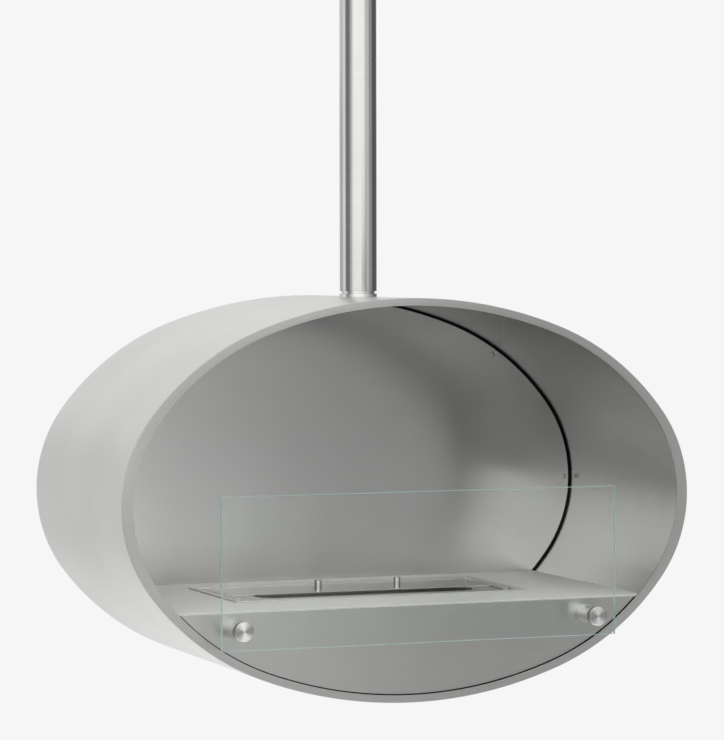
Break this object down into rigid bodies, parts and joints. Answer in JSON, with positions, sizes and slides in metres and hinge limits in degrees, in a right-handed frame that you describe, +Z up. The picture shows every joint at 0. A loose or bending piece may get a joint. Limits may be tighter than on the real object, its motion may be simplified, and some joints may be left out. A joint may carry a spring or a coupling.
{
  "type": "hanging fireplace",
  "caption": "Oval steel fireplace hung from a ceiling pole, with a turning joint, a lift-out tray burner under a sliding lid and a glass screen on stand-offs.",
  "frame": {"origin": "centre of the ceiling plate's top face, which lies against the ceiling", "axes": "+Z up into the ceiling and along the pole, -Y out of the mouth of the fireplace, +X to the right seen from the mouth"},
  "size_m": [1, 0.5546, 1.665],
  "materials": {
    "ceiling_plate": "black powder coat, hidden by the canopy",
    "pole": "satin brushed stainless steel",
    "pole_bolts": "bright stainless steel",
    "pole_nuts": "bright stainless steel",
    "canopy": "satin brushed stainless steel",
    "canopy_grub_screw": "bright stainless steel",
    "pole_foot": "satin brushed stainless steel",
    "swivel_nut": "bright stainless steel",
    "thrust_washer": "turned bronze",
    "bearing_bush": "turned bronze",
    "collar": "satin brushed stainless steel",
    "saddle_plate": "dark primer, hidden above the back panel",
    "saddle_screws": "bright stainless steel",
    "shell": "satin brushed stainless steel",
    "front_rim": "satin brushed stainless steel",
    "rear_flange": "black primer, in the dark behind the back panel",
    "rear_cover": "satin brushed stainless steel",
    "rear_cover_screws": "bright stainless steel",
    "panel_posts": "satin brushed stainless steel",
    "back_panel": "satin brushed stainless steel",
    "panel_screws": "bright stainless steel",
    "shelf": "satin brushed stainless steel",
    "left_shelf_bracket": "satin brushed stainless steel",
    "right_shelf_bracket": "satin brushed stainless steel",
    "shelf_nuts": "bright stainless steel",
    "glass_screen": "clear toughened glass with green edges",
    "glass_gaskets": "clear silicone rubber",
    "standoff_barrels": "satin brushed stainless steel",
    "standoff_caps": "faced with fine turning marks",
    "standoff_studs": "bright stainless steel",
    "standoff_nuts": "bright stainless steel",
    "burner_tray": "satin brushed stainless steel",
    "ceramic_pad": "white ceramic fibre board",
    "burner_deck": "satin brushed stainless steel",
    "lid_rails": "satin brushed stainless steel",
    "burner_lid": "satin brushed, polished front edge",
    "lid_knobs": "polished stainless steel",
    "knob_screws": "bright stainless steel"
  },
  "bodies": {
    "ceiling": {"ceiling_plate": "ceiling_plate", "pole": "pole", "pole_bolts": "pole_bolts", "pole_nuts": "pole_nuts", "pole_foot": "pole_foot", "swivel_nut": "swivel_nut"},
    "canopy": {"canopy": "canopy", "canopy_grub_screw": "canopy_grub_screw"},
    "hearth": {"thrust_washer": "thrust_washer", "bearing_bush": "bearing_bush", "collar": "collar", "saddle_plate": "saddle_plate", "saddle_screws": "saddle_screws", "shell": "shell", "front_rim": "front_rim", "rear_flange": "rear_flange", "rear_cover": "rear_cover", "rear_cover_screws": "rear_cover_screws", "panel_posts": "panel_posts", "back_panel": "back_panel", "panel_screws": "panel_screws", "shelf": "shelf", "left_shelf_bracket": "left_shelf_bracket", "right_shelf_bracket": "right_shelf_bracket", "shelf_nuts": "shelf_nuts", "glass_screen": "glass_screen", "glass_gaskets": "glass_gaskets", "standoff_barrels": "standoff_barrels", "standoff_caps": "standoff_caps", "standoff_studs": "standoff_studs", "standoff_nuts": "standoff_nuts"},
    "burner": {"burner_tray": "burner_tray", "ceramic_pad": "ceramic_pad", "burner_deck": "burner_deck", "lid_rails": "lid_rails"},
    "lid": {"burner_lid": "burner_lid", "lid_knobs": "lid_knobs", "knob_screws": "knob_screws"}
  },
  "joints": [
    {"name": "body_swivel", "type": "hinge", "parent": "ceiling", "child": "hearth", "pos_m": [0, 0, -1], "axis": [0, 0, 1], "continuous": true},
    {"name": "canopy_slide", "type": "slide", "parent": "ceiling", "child": "canopy", "axis": [0, 0, -1], "range_m": [0, 0.15]},
    {"name": "burner_lift", "type": "slide", "parent": "hearth", "child": "burner", "axis": [0, 0, 1], "range_m": [0, 0.15]},
    {"name": "lid_slide", "type": "slide", "parent": "burner", "child": "lid", "axis": [0, -1, 0], "range_m": [-0.024, 0.052]}
  ]
}
